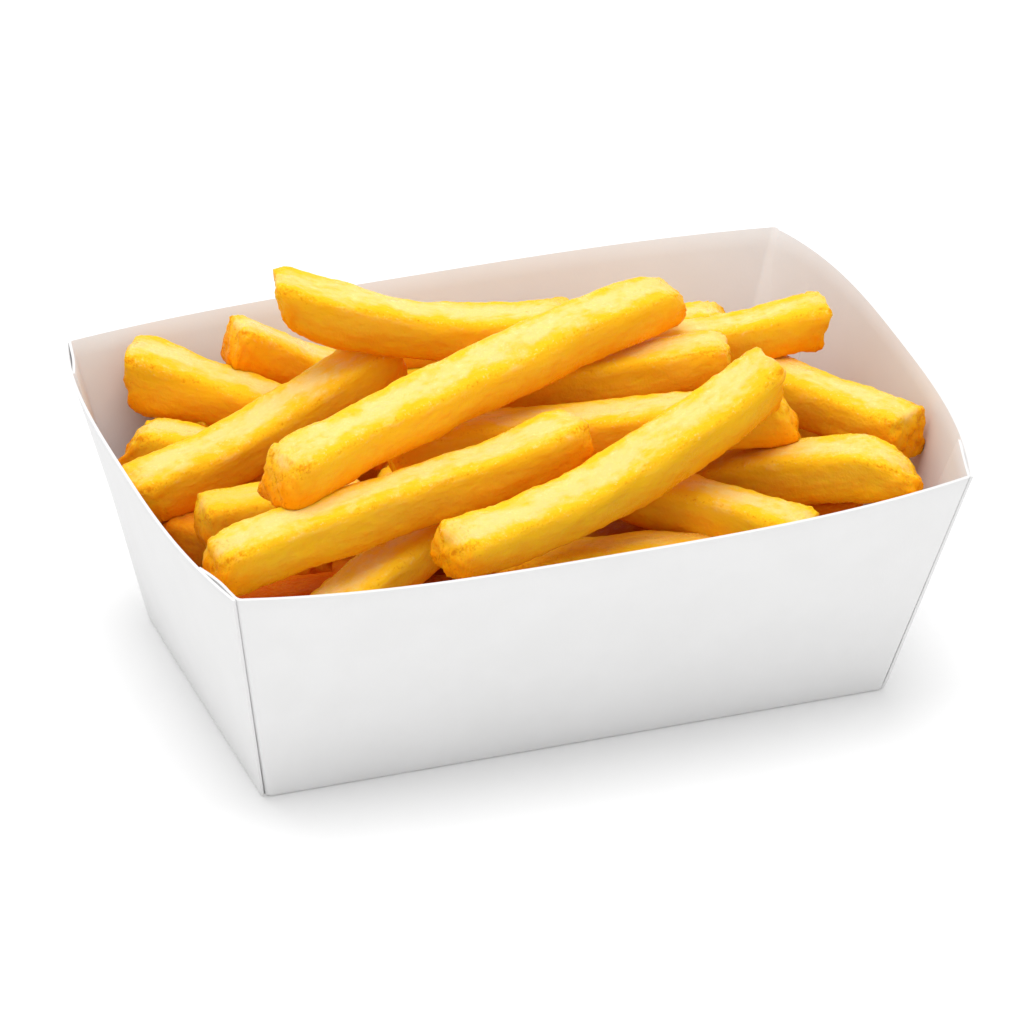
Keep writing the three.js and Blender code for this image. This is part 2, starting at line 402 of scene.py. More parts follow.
def wall_rows(column, inwards, count):
    """Rows from the base up: the fold first, then the wall itself."""
    feet = [folded_foot(lambda v, k=k: column(k, v), inwards(k)) for k in range(count)]
    rows = [[foot[step] for foot in feet] for step in range(FOLD_STEPS + 1)]
    return rows + [[column(k, v) for k in range(count)] for v in LEVELS]


def base_rows():
    """The flat base: each row runs between the feet of the two end walls' folds."""
    rows = []
    for share in ACROSS:
        row = [-BASE_LENGTH / 2 + BASE_FOLD]
        for t in ACROSS:
            front, back = (t * (BASE_LENGTH / 2 - reach(corner_of(t, side), 0)) for side in (1, -1))
            row.append((front + back + (back - front) * share) / 2)
        row.append(BASE_LENGTH / 2 - BASE_FOLD)
        rows.append([(x, share * (BASE_WIDTH / 2 - BASE_FOLD), 0) for x in row])
    return rows


def folded_sheet():
    """The outer face: base, walls, corner folds and tabs, joined along their shared edges."""
    sheet = bmesh.new()
    add_grid(sheet, base_rows())
    for sign in (1, -1):
        rows = wall_rows(
            lambda k, v: long_column(sign, ACROSS[k], v), lambda k: (0, BASE_FOLD), len(ACROSS)
        )
        add_grid(sheet, rows, (1, sign))
        rows = wall_rows(
            lambda k, v: end_column(sign, ACROSS[k], v), lambda k: (-BASE_FOLD, 0), len(ACROSS)
        )
        add_grid(sheet, rows, (sign, 1))
    turns = [i * math.pi / 2 / FOLD_STEPS for i in range(FOLD_STEPS + 1)]
    for (end, side), corner in CORNERS.items():
        rows = wall_rows(
            lambda k, v: corner_column(corner, v, k / FOLD_STEPS),
            lambda k: (-BASE_FOLD * math.sin(turns[k]), BASE_FOLD * math.cos(turns[k])),
            FOLD_STEPS + 1,
        )
        add_grid(sheet, rows, (SIGN[end], SIGN[side]))
        tab = [[tab_point(corner, v, share) for share in TAB_STEPS] for v in LEVELS[1:]]
        add_grid(sheet, tab, (SIGN[end], SIGN[side]))
    bmesh.ops.remove_doubles(sheet, verts=sheet.verts, dist=MERGED * MM)
    bmesh.ops.recalc_face_normals(sheet, faces=sheet.faces)
    return sheet


def as_object(mesh, name):
    """Puts a bmesh in the scene as an object at the origin."""
    data = bpy.data.meshes.new(name)
    mesh.to_mesh(data)
    mesh.free()
    made = bpy.data.objects.new(name, data)
    bpy.context.scene.collection.objects.link(made)
    return made


sheet = folded_sheet()
base_face = min(sheet.faces, key=lambda f: f.calc_center_median().length)
if base_face.normal.z > 0:
    bmesh.ops.reverse_faces(sheet, faces=sheet.faces)
carton = as_object(sheet, "carton_board")
print("sheet faces:", len(carton.data.polygons))

# %% Thickness and cut edges
CUT_EDGE = 0.1
CUT_ANGLE, SHARP_ANGLE = math.radians(55), math.radians(40)


def baked(piece):
    """Turns a piece with live modifiers into a plain mesh."""
    graph = bpy.context.evaluated_depsgraph_get()
    plain = bpy.data.meshes.new_from_object(piece.evaluated_get(graph))
    plain.name = piece.name
    piece.modifiers.clear()
    piece.data = plain


def triangles(piece):
    """How many triangles a piece's mesh comes to."""
    return sum(len(polygon.vertices) - 2 for polygon in piece.data.polygons)


thickness = carton.modifiers.new("board", "SOLIDIFY")
thickness.thickness = BOARD * MM
thickness.offset = -1
thickness.use_even_offset = True
edges = carton.modifiers.new("cut_edges", "BEVEL")
edges.width = CUT_EDGE * MM
edges.segments = 2
edges.limit_method = "ANGLE"
edges.angle_limit = CUT_ANGLE
baked(carton)
carton.data.shade_smooth()
carton.data.set_sharp_from_angle(angle=SHARP_ANGLE)
print("carton triangles:", triangles(carton))

# %% [markdown]
# ## The board's finish
#
# Uncoated white board is nearly plain, and what tells it from plastic is small: cloudy fibres that
# show as the faintest change of shade and gloss, and a fine tooth that a bump too shallow to see
# at arm's length gives. All of it is noise on Object coordinates, so nothing needs unwrapping.

# %% White board
BOARD_DULL = (0.758, 0.756, 0.754, 1)
BOARD_CLEAR = (0.774, 0.772, 0.771, 1)
BOARD_FIBRE = (0.75, 0.74, 0.73, 1)
CLOUD_SIZE, FIBRE_SIZE = 14, 0.5


def new_material(name):
    """A material with an empty tree, its Principled shader and its output."""
    material = bpy.data.materials.new(name)
    material.use_nodes = True
    tree = material.node_tree
    tree.nodes.clear()
    shader = tree.nodes.new("ShaderNodeBsdfPrincipled")
    output = tree.nodes.new("ShaderNodeOutputMaterial")
    tree.links.new(shader.outputs["BSDF"], output.inputs["Surface"])
    return material, tree, shader


def drive(shader, name, wire):
    """Links a wire to the shader's input of that name."""
    shader.id_data.links.new(wire.socket, shader.inputs[name])


def noise(tree, where, size, detail=2.0, roughness=0.5, out="Fac"):
    """Noise whose features are about size across, in the units of where."""
    sockets = {"Vector": where, "Scale": 1 / size, "Detail": detail, "Roughness": roughness}
    return Wire.node(tree, "ShaderNodeTexNoise", None, sockets, out)


def mixed(tree, share, first, second):
    """The first colour, fading to the second as share goes from 0 to 1."""
    sockets = {"Factor": share, "A": first, "B": second}
    return Wire.node(tree, "ShaderNodeMix", {"data_type": "RGBA"}, sockets)


def bumped(tree, height, distance, strength):
    """A normal that leans as if the surface had this relief."""
    sockets = {"Height": height, "Distance": distance, "Strength": strength}
    return Wire.node(tree, "ShaderNodeBump", None, sockets)


def white_board():
    """The matt board: cloudy shade, stray fibres and a fine tooth."""
    material, tree, shader = new_material("white_board")
    place = Wire.node(tree, "ShaderNodeTexCoord", None, None, "Object")
    clouds = noise(tree, place, CLOUD_SIZE * MM, 3, 0.6)
    fibres = noise(tree, place * (1.0, 1.0, 0.45), FIBRE_SIZE * MM, 3, 0.6)
    shade = mixed(tree, clouds.between(0.3, 0.7), BOARD_DULL, BOARD_CLEAR)
    shade = mixed(tree, fibres.between(0.62, 0.8) * 0.35, shade, BOARD_FIBRE)
    drive(shader, "Base Color", shade)
    drive(shader, "Roughness", 0.56 + 0.14 * fibres + 0.06 * clouds)
    drive(shader, "Normal", bumped(tree, fibres, 0.05 * MM, 0.35))
    shader.inputs["Specular IOR Level"].default_value = 0.35
    return material


carton.data.materials.clear()
carton.data.materials.append(white_board())
print("board finish ready")

# %% [markdown]
# ## Where each fry lies
#
# A heap could be dropped by a simulation, but then nobody chooses how it looks. Here the fries
# that can be told apart are placed one by one, like a cook dressing a plate: `start` and
# `finish` are the middles of a fry's two ends in millimetres, `side` its thickness, `turn` its
# roll in degrees, `sag` how far its middle is above (+) or below (-) a straight line, and `taper`
# how much thinner it gets. `lean_start` and `lean_finish` say how obliquely an end was cut: at
# 0.5 its upper half lies 0.5 mm further along the fry for each millimetre of height. `hook_start`
# and `hook_finish` say how far an end has curled up (+) or down (-) in the hot oil. Over the last
# millimetres given by `blunt_start` or `blunt_finish`, an end narrows by the share `pinch_start`
# or `pinch_finish`.
# `lit_share` is a fry's share of painted light: at 1, for a fry on top, it keeps its full pale top
# face; at 0, for one deep down, it is painted a dark red-orange as shade. What a fry doesn't say
# for itself, it takes from the defaults further down.

# %% The fries on top
TOP_FRIES = [
    # on top of all
    dict(start=(-61.5, -30.5, 69), finish=(39.2, 11, 74), side=12.4, turn=8, taper=0.16, sag=1.6,
         lean_start=0.2, lean_finish=-0.35, hook_finish=-1, blunt_finish=9, pinch_finish=0.45),
    dict(start=(-33, -54.5, 59.5), finish=(48, -23, 70.5), side=11, turn=12, taper=-0.08,
         sag=-5.2, lean_start=0.3),
    dict(start=(-42.5, 28, 78), finish=(14, 11.5, 69.5), side=11.3, sag=-3.6,
         lean_start=-0.35, hook_start=0.6, blunt_start=4, pinch_start=0.32),
    dict(start=(-78, -39.5, 58.5), finish=(6.5, -23.5, 63.5), side=11.2, sag=-1.5, lean_start=0.3,
         hook_start=-2.5, blunt_start=8, pinch_start=0.28, blunt_finish=7, pinch_finish=0.3),
    # the next ones down, on the left
    dict(start=(-79, 12, 45.5), finish=(-18, 27, 62), side=11.8, turn=5, sag=-2.5, lean_start=-0.2),
    dict(start=(-67, 52, 53), finish=(-21, 19.5, 43), side=13.2, taper=0.34, lean_start=-0.3),
    dict(start=(-47, 46.5, 59), finish=(-9, 46, 37), side=11, lean_start=-0.25),
    dict(start=(-72, 37.5, 44), finish=(-41.5, 16, 42.5), side=10.5, lean_start=0.5),
    # and on the right
    dict(start=(-7, 8, 61.5), finish=(47, -0.5, 63), side=11.3, sag=-1.5),
    dict(start=(-29, -5, 57), finish=(53.5, -20, 58.5), side=11.4, lean_finish=-0.5),
    dict(start=(25, 12, 58.5), finish=(71.5, 9, 63), side=10.6, lean_finish=0.3),
    dict(start=(24, 39.5, 51.5), finish=(61.5, 35, 49.5), side=10, lean_finish=-0.8),
    dict(start=(48, 26.5, 50.5), finish=(77.5, -28, 53), side=11.4),
    dict(start=(34.5, -13, 40.5), finish=(73.5, -42, 54), side=10.6, taper=-0.1, sag=1.6,
         lean_finish=-0.4, hook_finish=-3, blunt_finish=15, pinch_finish=0.7),
    dict(start=(12.5, -11.5, 46.5), finish=(47, -50, 45.5), side=11),
]
print("fries on top:", len(TOP_FRIES))

# %% The fries beneath
BENEATH_FRIES = [
    # seen in part, between those on top
    dict(start=(-15.5, -36.5, 40.5), finish=(34.5, -40.5, 37.5), side=10.5, sag=2, lit_share=0.6),
    dict(start=(-60, -45.5, 40.5), finish=(-24, -23, 47), side=11, lit_share=1.0),
    dict(start=(-72, -28, 39), finish=(-41, -28, 36), side=10.5, lit_share=0.1),
    dict(start=(-70, -5, 47), finish=(-36, -4, 46), side=10.5, lit_share=0.7),
    dict(start=(-72, 11, 37), finish=(-48, -18, 37), side=9.5, lit_share=0.4),
    dict(start=(-60, 28, 34), finish=(-22, 27, 37), side=10),
    dict(start=(40, -22, 36), finish=(66, -31, 40), side=10, lit_share=0.3),
    # behind and under them
    dict(start=(-58, 42, 41), finish=(-4, 46, 43), side=10.5),
    dict(start=(14, 47, 43), finish=(64, 38, 38), side=10.5),
    dict(start=(-14, 31, 41), finish=(42, 22, 42), side=11),
    dict(start=(-12, 47, 49), finish=(30, 48, 49), side=10.5),
    dict(start=(40, 0, 42), finish=(74, 13, 39), side=11),
    dict(start=(-26, 6, 39), finish=(16, 5, 53), side=10.5),
    dict(start=(-38, -14, 40), finish=(9, -21, 54.5), side=10.5),
    dict(start=(-38, -36, 33), finish=(-8, -27, 31), side=10.5, lit_share=0.2),
]
print("fries placed beneath:", len(BENEATH_FRIES))

# %% The bottom rows
ROW_HEIGHT, ROW_PITCH, ROW_REACH = 30.5, 13.2, 35.5
ROWS_EACH_WAY = 3
OUTER_LENGTH, INNER_LENGTH, LENGTH_SPREAD = 62, 66, 4
ASKEW = math.radians(14)
# the bottom rows lie deep, so they get little painted light and are painted dark with shade
ROW_SIDE, ROW_LIT = 10.5, 0.3
SEED = 2024


def random_run(seed):
    """The same run of numbers from 0 to 1 every time."""
    state = seed
    while True:
        state = state * 16807 % 2147483647
        yield state / 2147483647


def bottom_rows(draws):
    """Fries side by side on the core, in two columns, each a little askew."""
    rows = []
    for middle in (-ROW_REACH, ROW_REACH):
        for row in range(-ROWS_EACH_WAY, ROWS_EACH_WAY + 1):
            outer = abs(row) == ROWS_EACH_WAY
            length = OUTER_LENGTH if outer else INNER_LENGTH
            length += LENGTH_SPREAD * (next(draws) - 0.5)
            heading = 0 if outer else ASKEW * (next(draws) - 0.5)
            reach = Vector((math.cos(heading), math.sin(heading), 0)) * length / 2
            centre = Vector((middle, row * ROW_PITCH, ROW_HEIGHT))
            start = centre - reach + Vector((0, 0, next(draws)))
            finish = centre + reach + Vector((0, 0, next(draws)))
            rows.append(dict(start=start, finish=finish, side=ROW_SIDE, lit_share=ROW_LIT))
    return rows


draws = random_run(SEED)
BENEATH_FRIES += bottom_rows(draws)
print("fries beneath:", len(BENEATH_FRIES))

# %% [markdown]
# ## From a line to a guide
#
# Geometry Nodes will grow one bar on each guide, so everything that a bar needs travels with one
# loose vertex as attributes: where it starts, its direction and length, the two directions across
# it, its thickness, its bend and its ends. `lot` is a number of its own for each fry, so that no
# two share their dents, blotches or browning.

# %% Guides with their attributes
UP = Vector((0, 0, 1))
VECTORS = ("start", "along", "first", "second", "bend", "hook_start", "hook_finish")
NUMBERS = (
    "length", "side", "taper", "lean_start", "lean_finish", "blunt_start", "blunt_finish",
    "pinch_start", "pinch_finish", "lit_share", "lot",
)
BLUNT = 2.6
PINCH = 0.22
# the share of painted light that a fry gets unless it says otherwise; less of it paints a fry darker
# with shade
LIT_ON_TOP, LIT_BENEATH = 1.0, 0.65


def guide_values(fry, lot, lit_share):
    """The attributes of one fry's guide, in millimetres."""
    start = Vector(fry["start"])
    line = Vector(fry["finish"]) - start
    along = line.normalized()
    across = UP.cross(along).normalized()
    above = along.cross(across)
    roll = math.radians(fry.get("turn", 0))
    return {
        "start": start,
        "along": along,
        "first": across * math.cos(roll) + above * math.sin(roll),
        "second": above * math.cos(roll) - across * math.sin(roll),
        "bend": UP * fry.get("sag", 0),
        "hook_start": UP * fry.get("hook_start", 0),
        "hook_finish": UP * fry.get("hook_finish", 0),
        "length": line.length,
        "side": fry["side"],
        "taper": fry.get("taper", 0),
        "lean_start": fry.get("lean_start", 0),
        "lean_finish": fry.get("lean_finish", 0),
        "blunt_start": fry.get("blunt_start", BLUNT * (0.7 + 0.9 * lot)),
        "blunt_finish": fry.get("blunt_finish", BLUNT * (1.6 - 0.9 * lot)),
        "pinch_start": fry.get("pinch_start", PINCH * (0.8 + 0.5 * lot)),
        "pinch_finish": fry.get("pinch_finish", PINCH * (1.3 - 0.5 * lot)),
        "lit_share": fry.get("lit_share", lit_share),
        "lot": lot,
    }


def guides(name, fries, lit_share):
    """A mesh of loose vertices, one for each fry, that carry the attributes."""
    data = bpy.data.meshes.new(name)
    data.from_pydata([fry["start"] for fry in fries], [], [])
    values = [guide_values(fry, next(draws), lit_share) for fry in fries]
    for key in VECTORS:
        attribute = data.attributes.new(key, "FLOAT_VECTOR", "POINT")
        attribute.data.foreach_set("vector", [c for value in values for c in value[key]])
    for key in NUMBERS:
        attribute = data.attributes.new(key, "FLOAT", "POINT")
        attribute.data.foreach_set("value", [value[key] for value in values])
    made = bpy.data.objects.new(name, data)
    bpy.context.scene.collection.objects.link(made)
    return made


fries_top = guides("fries_top", TOP_FRIES, LIT_ON_TOP)
fries_beneath = guides("fries_beneath", BENEATH_FRIES, LIT_BENEATH)
print("guides:", len(fries_top.data.vertices), "+", len(fries_beneath.data.vertices))

# %% [markdown]
# ## One tree for every fry
#
# A thick-cut fry is a square bar of potato that has shrunk and puffed in the oil: its long edges
# are soft, its faces wander, its cut ends are a little domed with a puckered rim, and its crust
# is finely blistered. That is a rule, so Geometry Nodes makes it: a subdivided box is put on each
# guide, the instances are realized, and one Set Position bends the box's own coordinates into
# the bar. A second one pushes the skin in and out along its normal. What the finish needs is
# stored on the way: how close a point is to a tip or an edge, how high it is in the bar, and
# where the blisters rise. Sizes in the tree are in millimetres up to each Set Position.

# %% The fry tree
PI = math.pi
GATHER = 0.08
SWELL_SIZE, TWIST_SIZE, WANDER_SIZE = 26, 34, 42
DENT_SIZE, BLISTER_SIZE = 8.0, 2.3
SKEW, WANDER, LEAST_DOME, MORE_DOME = 0.22, 1.6, 0.4, 1.8
CUT_REACH, TIP_REACH, CURL_SHARE = 13, 9, 0.32


def fry_tree():
    """The node group that grows a bar on each guide, and its inputs' identifiers by name."""
    tree = bpy.data.node_groups.new("fry_bars", "GeometryNodeTree")
    ports = {}
    tree.interface.new_socket(name="Geometry", in_out="INPUT", socket_type="NodeSocketGeometry")
    for name, kind in (
        ("Steps along", "NodeSocketInt"),
        ("Steps across", "NodeSocketInt"),
        ("Squareness", "NodeSocketFloat"),
        ("Unevenness", "NodeSocketFloat"),
        ("Dents", "NodeSocketFloat"),
        ("Crust", "NodeSocketFloat"),
        ("Seed", "NodeSocketFloat"),
        ("Finish", "NodeSocketMaterial"),
    ):
        port = tree.interface.new_socket(name=name, in_out="INPUT", socket_type=kind)
        ports[name] = port.identifier
    tree.interface.new_socket(name="Geometry", in_out="OUTPUT", socket_type="NodeSocketGeometry")
    entry = tree.nodes.new("NodeGroupInput")
    given = {socket.name: Wire(tree, socket) for socket in entry.outputs if socket.name}

    def node(kind, settings=None, sockets=None, out=None):
        return Wire.node(tree, kind, settings, sockets, out)

    def stored(geometry, name, kind, value):
        sockets = {"Geometry": geometry, "Name": name, "Value": value}
        return node("GeometryNodeStoreNamedAttribute", {"data_type": kind, "domain": "POINT"}, sockets)

    def read(name, kind="FLOAT"):
        return node("GeometryNodeInputNamedAttribute", {"data_type": kind}, {"Name": name})

    def bars(points):
        across = given["Steps across"]
        sockets = {"Vertices X": given["Steps along"], "Vertices Y": across, "Vertices Z": across}
        box = node("GeometryNodeMeshCube", None, sockets)
        box = stored(box, "place", "FLOAT_VECTOR", node("GeometryNodeInputPosition"))
        many = node("GeometryNodeInstanceOnPoints", None, {"Points": points, "Instance": box})
        return node("GeometryNodeRealizeInstances", None, {"Geometry": many})

    geometry = bars(given["Geometry"])
    ahead, aside, high = read("place", "FLOAT_VECTOR").parts()
    vectors = {name: read(name, "FLOAT_VECTOR") for name in VECTORS}
    number = {name: read(name) for name in NUMBERS}
    length, side, lot = number["length"], number["side"], number["lot"]

    # the share of the way along, with the stations gathered towards the tips
    even = ahead + 0.5
    share = even - GATHER * (even * (2 * PI)).of("SINE")
    from_start = share * length
    from_finish = (1 - share) * length
    from_tip = from_start.of("MINIMUM", from_finish)

    # the section: a square whose corners are drawn in, smaller towards the tip
    broad = (aside * 2).of("ABSOLUTE")
    tall = (high * 2).of("ABSOLUTE")
    squareness = given["Squareness"] + 1.6 * (lot * 37).of("FRACT")
    largest = broad.of("MAXIMUM", tall)
    rounded = (broad ** squareness + tall ** squareness) ** (1 / squareness)
    drawn_in = largest / rounded.of("MAXIMUM", 1e-4)
    closing = 1
    for distance, end in ((from_start, "start"), (from_finish, "finish")):
        near = (distance / number["blunt_" + end]).of("MINIMUM", 1.0)
        closing = closing * (1 - number["pinch_" + end] * (1 - (near * (2 - near)).of("SQRT")))

    # thickness and middle line wander slowly along the fry
    shift = lot * 911 + given["Seed"]
    drift = node("ShaderNodeCombineXYZ", None, {"X": from_start, "Y": shift, "Z": shift * 0.37})
    swell = noise(tree, drift, SWELL_SIZE, 1) - 0.5
    twist = noise(tree, drift + (40.0, 80.0, 0.0), TWIST_SIZE, 1) - 0.5
    middle = 4 * share * (1 - share)
    sway = noise(tree, drift + (0.0, 300.0, 70.0), WANDER_SIZE, 1, out="Color") - 0.5
    wander = sway * (middle * WANDER)
    tapered = side * (1 - number["taper"] * share)
    thick = tapered * (1 + given["Unevenness"] * swell) * drawn_in * closing
    width = aside * thick * (1 + SKEW * twist)
    height = high * thick * (1 - SKEW * twist)

    # the ends: domed, cut obliquely, and curled
    dome = ahead * (LEAST_DOME + MORE_DOME * (lot * 23).of("FRACT")) * (1 - largest * largest)
    fade_start = (1 - from_start / CUT_REACH).of("MAXIMUM", 0.0) ** 1.5
    fade_finish = (1 - from_finish / CUT_REACH).of("MAXIMUM", 0.0) ** 1.5
    slant = height * (number["lean_start"] * fade_start + number["lean_finish"] * fade_finish)
    curl_start = (1 - share / CURL_SHARE).of("MAXIMUM", 0.0) ** 2
    curl_finish = (1 - (1 - share) / CURL_SHARE).of("MAXIMUM", 0.0) ** 2
    spine = vectors["start"] + vectors["along"] * (from_start + dome + slant)
    bent = spine + vectors["bend"] * middle + wander
    bent = bent + vectors["hook_start"] * curl_start + vectors["hook_finish"] * curl_finish
    position = (bent + vectors["first"] * width + vectors["second"] * height) * MM
    geometry = node("GeometryNodeSetPosition", None, {"Geometry": geometry, "Position": position})

    # what the finish reads: a place in the fry, and how near its edges, its tips and its top are
    place = {"X": from_start + shift, "Y": width + shift, "Z": height}
    grain = node("ShaderNodeCombineXYZ", None, place)
    least = broad.of("MINIMUM", tall)
    geometry = stored(geometry, "grain", "FLOAT_VECTOR", grain)
    geometry = stored(geometry, "edge", "FLOAT", least / largest.of("MAXIMUM", 0.05))
    geometry = stored(geometry, "tip", "FLOAT", (1 - from_tip / TIP_REACH).of("MAXIMUM", 0.0))
    # how high a point is in its bar: the finish makes the top face pale, partly as painted light, and
    # the lower faces amber, partly as painted shade
    geometry = stored(geometry, "upper", "FLOAT", high + 0.5)

    # the skin: slow dents, then blisters that are strongest at the rims
    grain, edge, tip = read("grain", "FLOAT_VECTOR"), read("edge"), read("tip")
    dents = noise(tree, grain * (0.5, 1.0, 1.0), DENT_SIZE, 1) - 0.5
    blisters = noise(tree, grain, BLISTER_SIZE, 2, 0.55) - 0.5
    rim = tip ** 3
    raised = blisters * (0.5 + 0.7 * edge.between(0.55, 1.0) + 2.8 * rim)
    geometry = stored(geometry, "raised", "FLOAT", raised)
    push = given["Dents"] * dents + given["Crust"] * read("raised")
    offset = node("GeometryNodeInputNormal") * (push * MM)
    geometry = node("GeometryNodeSetPosition", None, {"Geometry": geometry, "Offset": offset})
    geometry = node("GeometryNodeSetShadeSmooth", None, {"Geometry": geometry})
    geometry = node("GeometryNodeRealizeInstances", None, {"Geometry": geometry})
    sockets = {"Geometry": geometry, "Material": given["Finish"]}
    geometry = node("GeometryNodeSetMaterial", None, sockets)
    exit_node = tree.nodes.new("NodeGroupOutput")
    tree.links.new(geometry.socket, exit_node.inputs[0])
    return tree, ports


fry_bars, fry_ports = fry_tree()
print("fry tree nodes:", len(fry_bars.nodes))

# %% [markdown]
# ## The fried finish
#
# A fry's colour tells how it was cooked, and the finish also paints light and shade into it. The
# skin is golden. The middle of its top face is a paler, mealy yellow in cloudy patches: partly
# the crust's own colour, partly painted light on the lit top face. Small pale specks on it are
# painted glints. Its sides turn amber, partly as painted shade, and its ends turn amber too; the
# long edges and rims carry fine orange-brown specks. Fries deep in the heap, and places close
# under another fry, are painted a dark red-orange as shade. Object coordinates know none of this,
# so the finish reads the attributes that the tree has stored, and an Ambient Occlusion node finds
# how open each place is. A little oil leaves the surface glossy in patches. Light sinks into
# potato, so the shader scatters it under the surface.

# %% Fried potato
PALE = (0.99, 0.66, 0.22, 1)
GOLDEN = (0.99, 0.55, 0.016, 1)
AMBER = (0.97, 0.31, 0.0005, 1)
# the dark red-orange of painted shade, deep in the heap and in gaps
DEEP_SHADE_COLOUR = (0.55, 0.07, 0.0005, 1)
BROWNED = (0.66, 0.17, 0.002, 1)
# the pale colour of painted glints
GLINT_COLOUR = (1.0, 0.8, 0.36, 1)
OILY = (1.0, 0.6, 0.1, 1)
# how far from the next fry or wall the painted shade of a gap reaches
CREVICE_SHADE_REACH = 11
PATCH_SIZE, STREAK_SIZE, FLAKE_SIZE, SPECK_SIZE = 4.5, 1.8, 1.5, 0.6
RELIEF_DEPTH = 0.6


def attribute(tree, name, out):
    """What the fry tree stored under a name."""
    return Wire.node(tree, "ShaderNodeAttribute", {"attribute_name": name}, None, out)


def fried_potato():
    """The skin of every fry, and of the core that they lie on."""
    material, tree, shader = new_material("fried_potato")
    grain = attribute(tree, "grain", "Vector")
    from_middle = attribute(tree, "edge", "Fac")
    edge = from_middle.between(0.55, 1.0)
    tip = attribute(tree, "tip", "Fac")
    raised = attribute(tree, "raised", "Fac")
    lit_share = attribute(tree, "lit_share", "Fac")
    upper = attribute(tree, "upper", "Fac")
    lot = attribute(tree, "lot", "Fac")
    # painted shade: Ambient Occlusion darkens and reddens the skin near the next fry or a wall
    nearness = {"Distance": CREVICE_SHADE_REACH * MM}
    open_air = Wire.node(tree, "ShaderNodeAmbientOcclusion", {"samples": 2}, nearness, "AO")
    crevice_shade = (1 - open_air).between(0.35, 1.0)
    clouds = noise(tree, grain * (0.6, 1.0, 1.0), PATCH_SIZE, 2) - 0.5
    streaks = noise(tree, grain * (0.33, 1.0, 1.0), STREAK_SIZE, 1) - 0.5
    flakes = noise(tree, grain * (0.7, 1.0, 1.0), FLAKE_SIZE, 2, 0.6) - 0.5
    specks = noise(tree, grain, SPECK_SIZE, 2, 0.6) - 0.5

    # golden skin; the top face pale, partly mealy crust and partly painted light; amber down the
    # sides, partly painted shade; painted shade in dark red-orange deep in the heap and in gaps
    top = upper.between(0.75, 1.0) * lit_share * lit_share * (1 - 0.8 * crevice_shade)
    mealy_less_shade = 0.85 - 0.9 * from_middle.between(0.1, 1.0) - 0.1 * tip - 1.5 * crevice_shade - 0.1 * lot
    mealy_less_shade = mealy_less_shade + 1.8 * clouds + 0.8 * streaks + 1.1 * flakes
    colour = mixed(tree, mealy_less_shade.between(0.0, 1.0) * (0.08 + 0.92 * top), GOLDEN, PALE)
    # amber from cooking at the tips, blisters and streaks, plus painted shade on the lower faces and
    # in the gaps
    heat_and_shade = 0.8 - 0.9 * upper + 0.25 * tip + 0.4 * raised + 0.5 * streaks + 0.5 * flakes
    heat_and_shade = heat_and_shade + 0.6 * crevice_shade
    colour = mixed(tree, heat_and_shade.between(0.0, 1.0) * 0.95, colour, AMBER)
    # painted shade: fries deep in the heap, and places in gaps, go dark red-orange
    deep_shade = (1.3 - 0.9 * lit_share) * crevice_shade + 1 - lit_share + 0.3 * flakes
    colour = mixed(tree, deep_shade.between(0.3, 1.0) * 0.95, colour, DEEP_SHADE_COLOUR)

    # painted glints as small pale specks, most on the top face; browned specks at edges and tips;
    # then gloss in patches and a fine relief
    painted_glints = specks + 0.6 * flakes
    colour = mixed(tree, painted_glints.between(0.08, 0.4) * (0.04 + 0.54 * top), colour, GLINT_COLOUR)
    browning = 0.2 * edge + 0.2 * tip - painted_glints
    colour = mixed(tree, browning.between(0.22, 0.55) * 0.6, colour, BROWNED)
    drive(shader, "Base Color", colour)
    drive(shader, "Roughness", 0.4 - 0.14 * clouds.between(-0.05, 0.1) + 0.3 * specks)
    relief = 0.3 * specks + 0.7 * flakes + 0.6 * streaks
    drive(shader, "Normal", bumped(tree, relief, RELIEF_DEPTH * MM, 0.6))
    shader.subsurface_method = "RANDOM_WALK"
    shader.inputs["Subsurface Weight"].default_value = 0.7
    shader.inputs["Subsurface Radius"].default_value = (1.0, 0.5, 0.12)
    shader.inputs["Subsurface Scale"].default_value = 2.2 * MM
    shader.inputs["Specular IOR Level"].default_value = 0.07
    shader.inputs["Specular Tint"].default_value = OILY
    return material


potato = fried_potato()
print("potato finish ready")

# %% Grow the fries
TOP_STEPS = (110, 14)
BENEATH_STEPS = (64, 9)
FRY_SHAPE = {"Squareness": 4.2, "Unevenness": 0.3, "Dents": 2.0, "Crust": 0.8, "Seed": 12.0}


def grow(piece, steps):
    """Runs the fry tree on a piece's guides and keeps the result as a plain mesh."""
    modifier = piece.modifiers.new("fries", "NODES")
    modifier.node_group = fry_bars
    modifier[fry_ports["Steps along"]], modifier[fry_ports["Steps across"]] = steps
    for name, value in FRY_SHAPE.items():
        modifier[fry_ports[name]] = value
    modifier[fry_ports["Finish"]] = potato
    baked(piece)
    print(piece.name, "triangles:", triangles(piece))


grow(fries_top, TOP_STEPS)
grow(fries_beneath, BENEATH_STEPS)

# %% [markdown]
# ## The core of the heap
#
# Deep down nothing can be told apart, so the fries lie on one closed body that fills the lower
# part of the carton. Where a gap between fries lets the eye reach it, it has to look like more
# fries, so its top is ridged like a row of them, and it has the same finish. That finish reads
# attributes, so the core gets its own: its place, a middling height in the bar, and a middling
# share of painted light, so that it is painted partly in shade.

# %% Core
CORE_GAP = 0.75
CORE_FOOT = 0.9
CORE_TOP = 25
CORE_STEPS = 48
CORE_RINGS = 12
CORE_SQUARENESS = 9
CORE_TONE = 0.5
RIDGE = 1.2


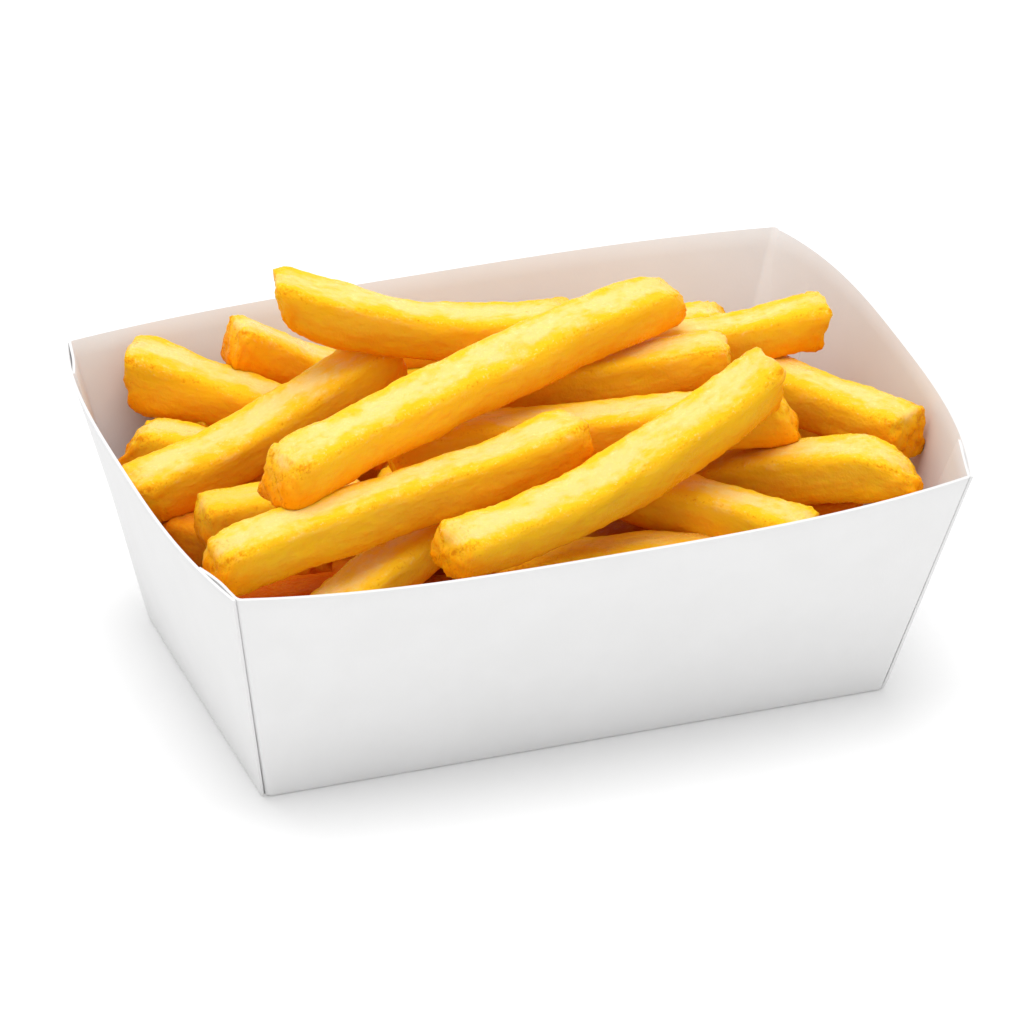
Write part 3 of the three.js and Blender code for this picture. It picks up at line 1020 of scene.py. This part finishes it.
def core_rim(height, turn):
    """A point of the core's side at a height, a share of the way round from the right end."""
    v = height / WALL_HEIGHT
    inset = 2 * BOARD + CORE_GAP
    angle = 2 * PI * turn
    reach_x = half_length(v) - inset
    reach_y = half_width(v) - inset
    power = 2 / CORE_SQUARENESS
    x = math.copysign(abs(math.cos(angle)) ** power, math.cos(angle)) * reach_x
    y = math.copysign(abs(math.sin(angle)) ** power, math.sin(angle)) * reach_y
    return Vector((x, y, height))


def ridged(x, y):
    """A point of the core's top, which is shaped like a row of fries."""
    return Vector((x, y, CORE_TOP + RIDGE * abs(math.sin(PI * y / ROW_PITCH))))


def heap_core():
    """A closed body: rings out over its foot, up its side and in over its top."""
    core = bmesh.new()
    turns = [i / CORE_STEPS for i in range(CORE_STEPS)]
    foot = [core_rim(CORE_FOOT, turn) for turn in turns]
    middle = [core_rim((CORE_FOOT + CORE_TOP) / 2, turn) for turn in turns]
    top = [core_rim(CORE_TOP, turn) for turn in turns]
    rings = [[Vector((p.x / 2, p.y / 2, CORE_FOOT)) for p in foot], foot, middle, top]
    for step in range(1, CORE_RINGS):
        share = 1 - step / CORE_RINGS
        rings.append([ridged(p.x * share, p.y * share) for p in top])
    loops = [[core.verts.new(p * MM) for p in ring] for ring in rings]
    for low, high in zip(loops, loops[1:]):
        for i in range(CORE_STEPS):
            j = (i + 1) % CORE_STEPS
            core.faces.new((low[i], low[j], high[j], high[i]))
    for loop, height in ((loops[0], CORE_FOOT), (loops[-1], CORE_TOP)):
        tip = core.verts.new(Vector((0, 0, height)) * MM)
        for i in range(CORE_STEPS):
            core.faces.new((loop[i], loop[(i + 1) % CORE_STEPS], tip))
    bmesh.ops.recalc_face_normals(core, faces=core.faces)
    return core


core = as_object(heap_core(), "heap_core")
core.data.shade_smooth()
places = core.data.attributes.new("grain", "FLOAT_VECTOR", "POINT")
places.data.foreach_set("vector", [c / MM for vertex in core.data.vertices for c in vertex.co])
# a middling height and share of painted light: the core is painted partly in shade
for name in ("lit_share", "upper"):
    tones = core.data.attributes.new(name, "FLOAT", "POINT")
    tones.data.foreach_set("value", [CORE_TONE] * len(core.data.vertices))
core.data.materials.append(potato)
print("core triangles:", triangles(core))

# %% [markdown]
# ## Hide the parts that the pieces replace
#
# The folded sheet takes the place of the imported carton, and the fries and their core together
# take the place of the packed heap, so those imported parts are hidden. Nothing moves, so all of
# them ride on the one body.

# %% Pieces and bodies
for piece, node, slot in (
    (carton, "carton", "board"),
    (fries_top, "fries", "fried_potato"),
    (fries_beneath, "fries", "fried_potato"),
    (core, "fries", "fried_potato"),
):
    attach(piece, "root")
    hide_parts(node)
